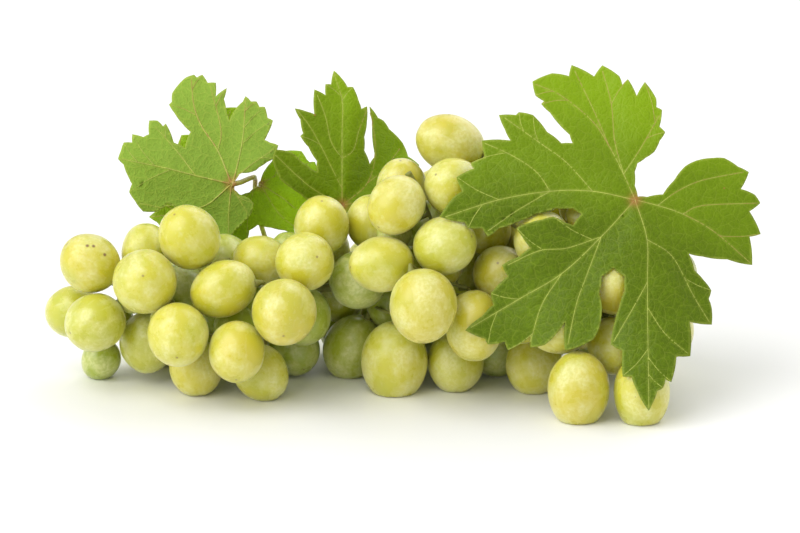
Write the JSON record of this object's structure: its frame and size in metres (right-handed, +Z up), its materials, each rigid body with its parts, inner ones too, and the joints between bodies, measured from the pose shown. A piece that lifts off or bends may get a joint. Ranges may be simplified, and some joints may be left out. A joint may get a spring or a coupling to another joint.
{
  "type": "bunch of grapes",
  "caption": "Bunch of white table grapes lying on its side, with its branched stalk and lobed vine leaves over and behind it.",
  "frame": {"origin": "on the surface that the bunch lies on, under the middle of its outer box", "axes": "+X along the bunch from its tip to its cut stalk, -Y towards the front with the large leaf, +Z up from the surface"},
  "size_m": [0.256, 0.113, 0.1166],
  "materials": {
    "berry_skin": "thin waxy skin, slightly translucent, pale yellow-green with a whitish bloom and fine brown specks",
    "stalk": "fresh green stalk turning brown where it is woody or cut",
    "leaf_front": "satin upper side of a vine leaf, mid green, with pale veins",
    "leaf_back_left": "matte pale underside of a vine leaf, with raised veins",
    "leaf_back_low": "bright yellow-green vine leaf with pale veins",
    "leaf_back_centre": "satin dark green vine leaf with a blue-green sheen on its folded lobes"
  },
  "bodies": {
    "root": {"berry_back_01": "berry_skin", "berry_back_02": "berry_skin", "berry_back_03": "berry_skin", "berry_back_04": "berry_skin", "berry_back_05": "berry_skin", "berry_back_06": "berry_skin", "berry_back_07": "berry_skin", "berry_back_08": "berry_skin", "berry_back_09": "berry_skin", "berry_back_10": "berry_skin", "berry_back_11": "berry_skin", "berry_foot_01": "berry_skin", "berry_foot_02": "berry_skin", "berry_foot_03": "berry_skin", "berry_foot_04": "berry_skin", "berry_foot_05": "berry_skin", "berry_foot_06": "berry_skin", "berry_foot_07": "berry_skin", "berry_foot_08": "berry_skin", "berry_front_01": "berry_skin", "berry_front_02": "berry_skin", "berry_front_03": "berry_skin", "berry_front_04": "berry_skin", "berry_front_05": "berry_skin", "berry_front_06": "berry_skin", "berry_front_07": "berry_skin", "berry_front_08": "berry_skin", "berry_front_09": "berry_skin", "berry_front_10": "berry_skin", "berry_front_11": "berry_skin", "berry_front_12": "berry_skin", "berry_front_13": "berry_skin", "berry_front_14": "berry_skin", "berry_front_15": "berry_skin", "berry_front_16": "berry_skin", "berry_front_17": "berry_skin", "berry_front_18": "berry_skin", "berry_front_19": "berry_skin", "berry_front_20": "berry_skin", "berry_tip_01": "berry_skin", "berry_tip_02": "berry_skin", "berry_tip_03": "berry_skin", "berry_tip_04": "berry_skin", "berry_tip_05": "berry_skin", "berry_top_01": "berry_skin", "berry_top_02": "berry_skin", "berry_top_03": "berry_skin", "berry_top_04": "berry_skin", "berry_top_05": "berry_skin", "berry_top_06": "berry_skin", "berry_top_07": "berry_skin", "berry_top_08": "berry_skin", "berry_top_09": "berry_skin", "berry_top_10": "berry_skin", "berry_top_11": "berry_skin", "leaf_back_centre": "leaf_back_centre", "leaf_back_left": "leaf_back_left", "leaf_back_low": "leaf_back_low", "leaf_front": "leaf_front", "rachis": "stalk"}
  },
  "joints": []
}
